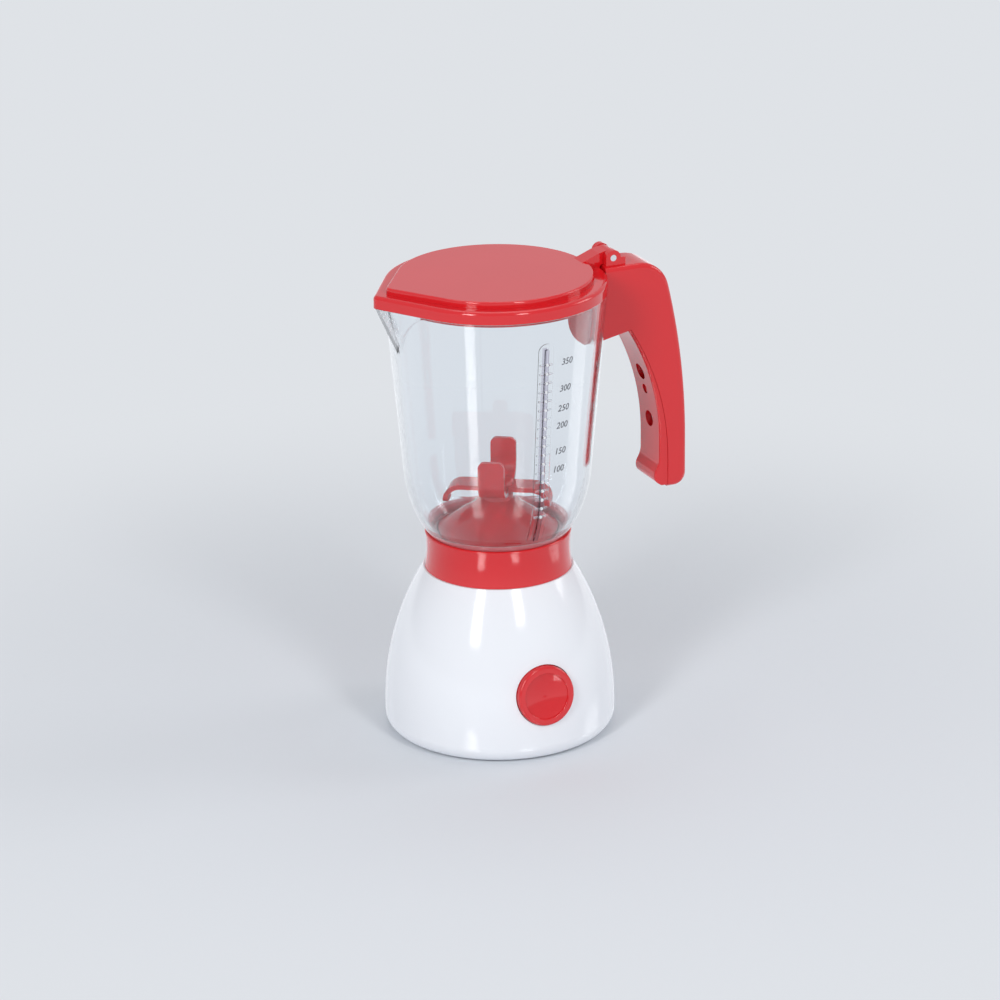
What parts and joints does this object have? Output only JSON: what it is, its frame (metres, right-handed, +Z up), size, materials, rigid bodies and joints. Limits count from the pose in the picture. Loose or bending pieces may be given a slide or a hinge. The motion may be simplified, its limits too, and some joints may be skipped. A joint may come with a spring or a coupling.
{
  "type": "toy blender",
  "caption": "Toy blender with a bell-shaped base, push button, clear lift-off jug on a collar, winged blade, clip-on handle and a hinged pouring lid.",
  "frame": {"origin": "centre of the base's underside, on the jug's axis", "axes": "+Z up along the jug, -Y towards the push button, +X towards the handle, -X towards the pouring spout"},
  "size_m": [0.1313, 0.0941, 0.1947],
  "materials": {
    "white": "glossy",
    "white_matte": "satin",
    "red": "glossy",
    "clear": "clear polished",
    "gear_white": "satin",
    "gear_grey": "satin",
    "steel": "zinc plated"
  },
  "bodies": {
    "base": {"base_housing": "white", "bottom_plate": "white_matte", "bottom_screws": "steel", "gear_bracket": "gear_grey", "bracket_screws": "steel", "gear_axle": "steel", "spindle_bush": "gear_grey", "button_spring": "steel"},
    "button": {"push_button": "red", "button_rack": "gear_white"},
    "idler": {"compound_gear": "gear_white"},
    "spindle": {"drive_spindle": "steel", "spindle_pinion": "gear_white", "drive_peg": "red"},
    "jug": {"jug": "clear", "collar": "red", "rotor_bush": "gear_grey", "handle_shell": "red", "handle_cover": "red", "handle_screws": "steel", "hinge_pin": "steel"},
    "rotor": {"blade_rotor": "red", "rotor_shaft": "steel", "drive_socket": "gear_grey"},
    "lid": {"lid": "red"}
  },
  "joints": [
    {"name": "button_press", "type": "slide", "parent": "base", "child": "button", "axis": [0, 1, 0], "range_m": [0, 0.0055], "stiffness_N_per_m": 120, "springref_m": -0.004, "deforming": ["button_spring"]},
    {"name": "idler_spin", "type": "hinge", "parent": "base", "child": "idler", "pos_m": [0.0074, -0.01772, 0.0062], "axis": [0, 0, 1], "range_deg": [-90, 0]},
    {"name": "spindle_spin", "type": "hinge", "parent": "base", "child": "spindle", "pos_m": [0, 0, 0.01], "axis": [0, 0, 1], "range_deg": [0, 225]},
    {"name": "jug_lift", "type": "slide", "parent": "base", "child": "jug", "axis": [0, 0, 1], "range_m": [0, 0.04]},
    {"name": "rotor_spin", "type": "hinge", "parent": "jug", "child": "rotor", "pos_m": [0, 0, 0.1], "axis": [0, 0, 1], "range_deg": [0, 225]},
    {"name": "lid_hinge", "type": "hinge", "parent": "jug", "child": "lid", "pos_m": [0.0481, 0, 0.1914], "axis": [0, 1, 0], "range_deg": [0, 100]}
  ],
  "couplings": [
    {"joint": "idler_spin", "follows": "button_press", "rad_per_m": -208.33},
    {"joint": "spindle_spin", "follows": "button_press", "rad_per_m": 625},
    {"joint": "rotor_spin", "follows": "button_press", "rad_per_m": 625}
  ]
}
